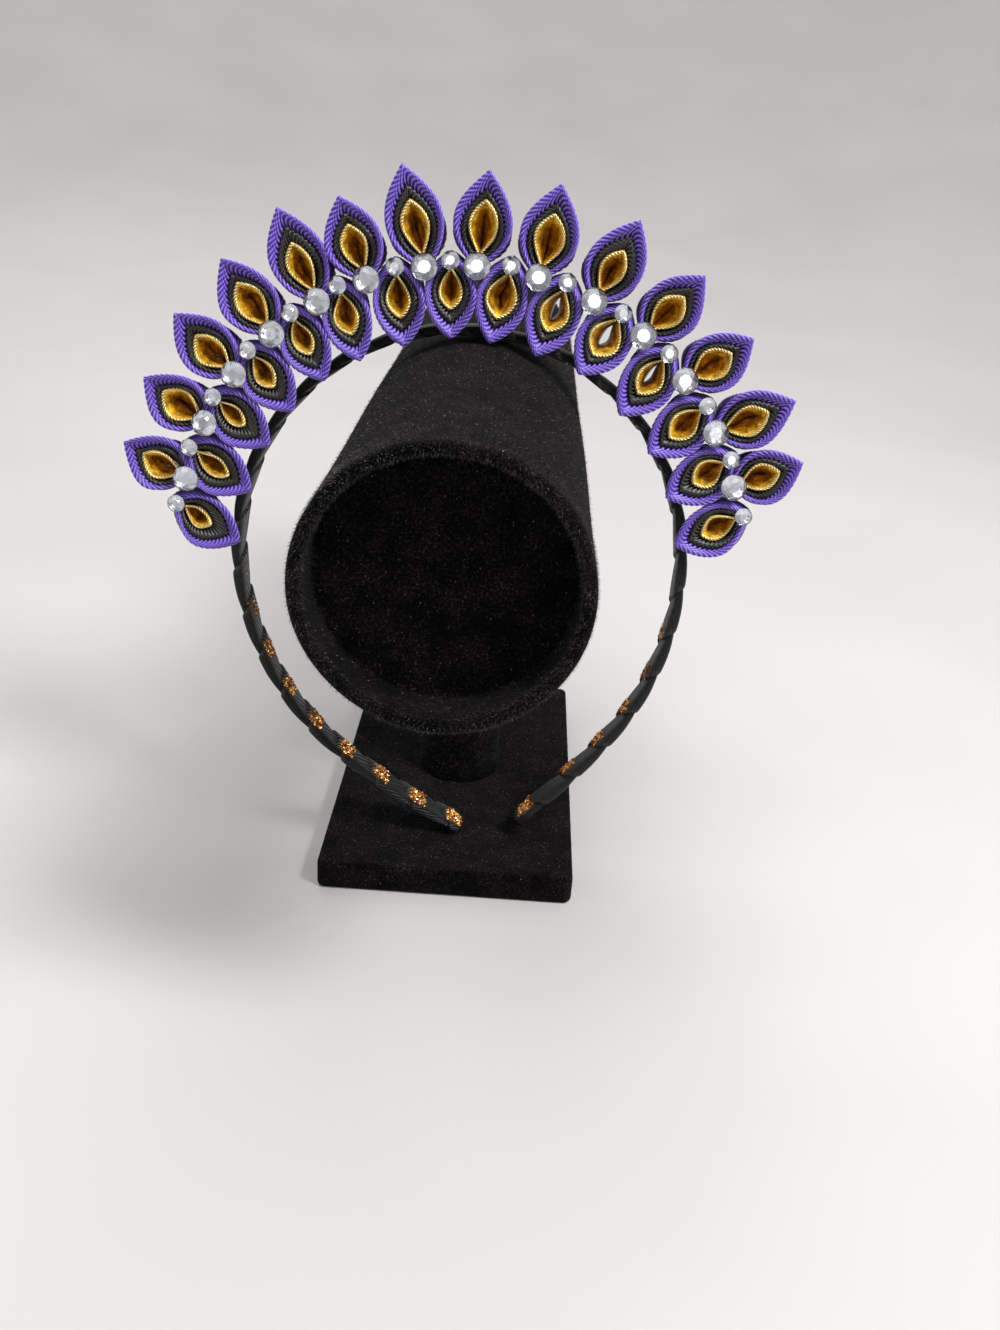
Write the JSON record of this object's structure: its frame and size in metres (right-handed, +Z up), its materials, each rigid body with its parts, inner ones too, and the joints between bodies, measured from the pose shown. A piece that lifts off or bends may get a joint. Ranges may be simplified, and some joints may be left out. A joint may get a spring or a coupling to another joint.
{
  "type": "kanzashi headband on t-bar display stand",
  "caption": "Kanzashi headband: a ribbon-wound hoop with two rows of pointed folded ribbon petals and clear stones, worn on the head and shown hanging on a velvet T-bar stand.",
  "frame": {"origin": "centre of the stand base's underside", "axes": "+Z up, +Y along the roll away from the petals' open fronts, +X to the right seen from the front"},
  "size_m": [0.1853, 0.268, 0.1967],
  "materials": {
    "black_velvet": "black velvet pile",
    "black_ribbon": "black grosgrain ribbon",
    "purple_ribbon": "purple grosgrain ribbon",
    "gold_ribbon": "gold glitter ribbon",
    "clear_stone": "clear faceted acrylic"
  },
  "bodies": {
    "root": {"display_stand": "black_velvet", "wrapped_hoop": "black_ribbon", "outer_petal_01": "purple_ribbon", "outer_petal_02": "purple_ribbon", "outer_petal_03": "purple_ribbon", "outer_petal_04": "purple_ribbon", "outer_petal_05": "purple_ribbon", "outer_petal_06": "purple_ribbon", "outer_petal_07": "purple_ribbon", "outer_petal_08": "purple_ribbon", "outer_petal_09": "purple_ribbon", "outer_petal_10": "purple_ribbon", "outer_petal_11": "purple_ribbon", "outer_petal_12": "purple_ribbon", "outer_petal_13": "purple_ribbon", "outer_petal_14": "purple_ribbon", "inner_petal_01": "purple_ribbon", "inner_petal_02": "purple_ribbon", "inner_petal_03": "purple_ribbon", "inner_petal_04": "purple_ribbon", "inner_petal_05": "purple_ribbon", "inner_petal_06": "purple_ribbon", "inner_petal_07": "purple_ribbon", "inner_petal_08": "purple_ribbon", "inner_petal_09": "purple_ribbon", "inner_petal_10": "purple_ribbon", "inner_petal_11": "purple_ribbon", "inner_petal_12": "purple_ribbon", "inner_petal_13": "purple_ribbon", "inner_petal_14": "purple_ribbon", "inner_petal_15": "purple_ribbon", "large_stone_01": "clear_stone", "large_stone_02": "clear_stone", "large_stone_03": "clear_stone", "large_stone_04": "clear_stone", "large_stone_05": "clear_stone", "large_stone_06": "clear_stone", "large_stone_07": "clear_stone", "large_stone_08": "clear_stone", "large_stone_09": "clear_stone", "large_stone_10": "clear_stone", "large_stone_11": "clear_stone", "large_stone_12": "clear_stone", "large_stone_13": "clear_stone", "large_stone_14": "clear_stone", "small_stone_01": "clear_stone", "small_stone_02": "clear_stone", "small_stone_03": "clear_stone", "small_stone_04": "clear_stone", "small_stone_05": "clear_stone", "small_stone_06": "clear_stone", "small_stone_07": "clear_stone", "small_stone_08": "clear_stone", "small_stone_09": "clear_stone", "small_stone_10": "clear_stone", "small_stone_11": "clear_stone", "small_stone_12": "clear_stone", "small_stone_13": "clear_stone", "small_stone_14": "clear_stone", "small_stone_15": "clear_stone"}
  },
  "joints": []
}
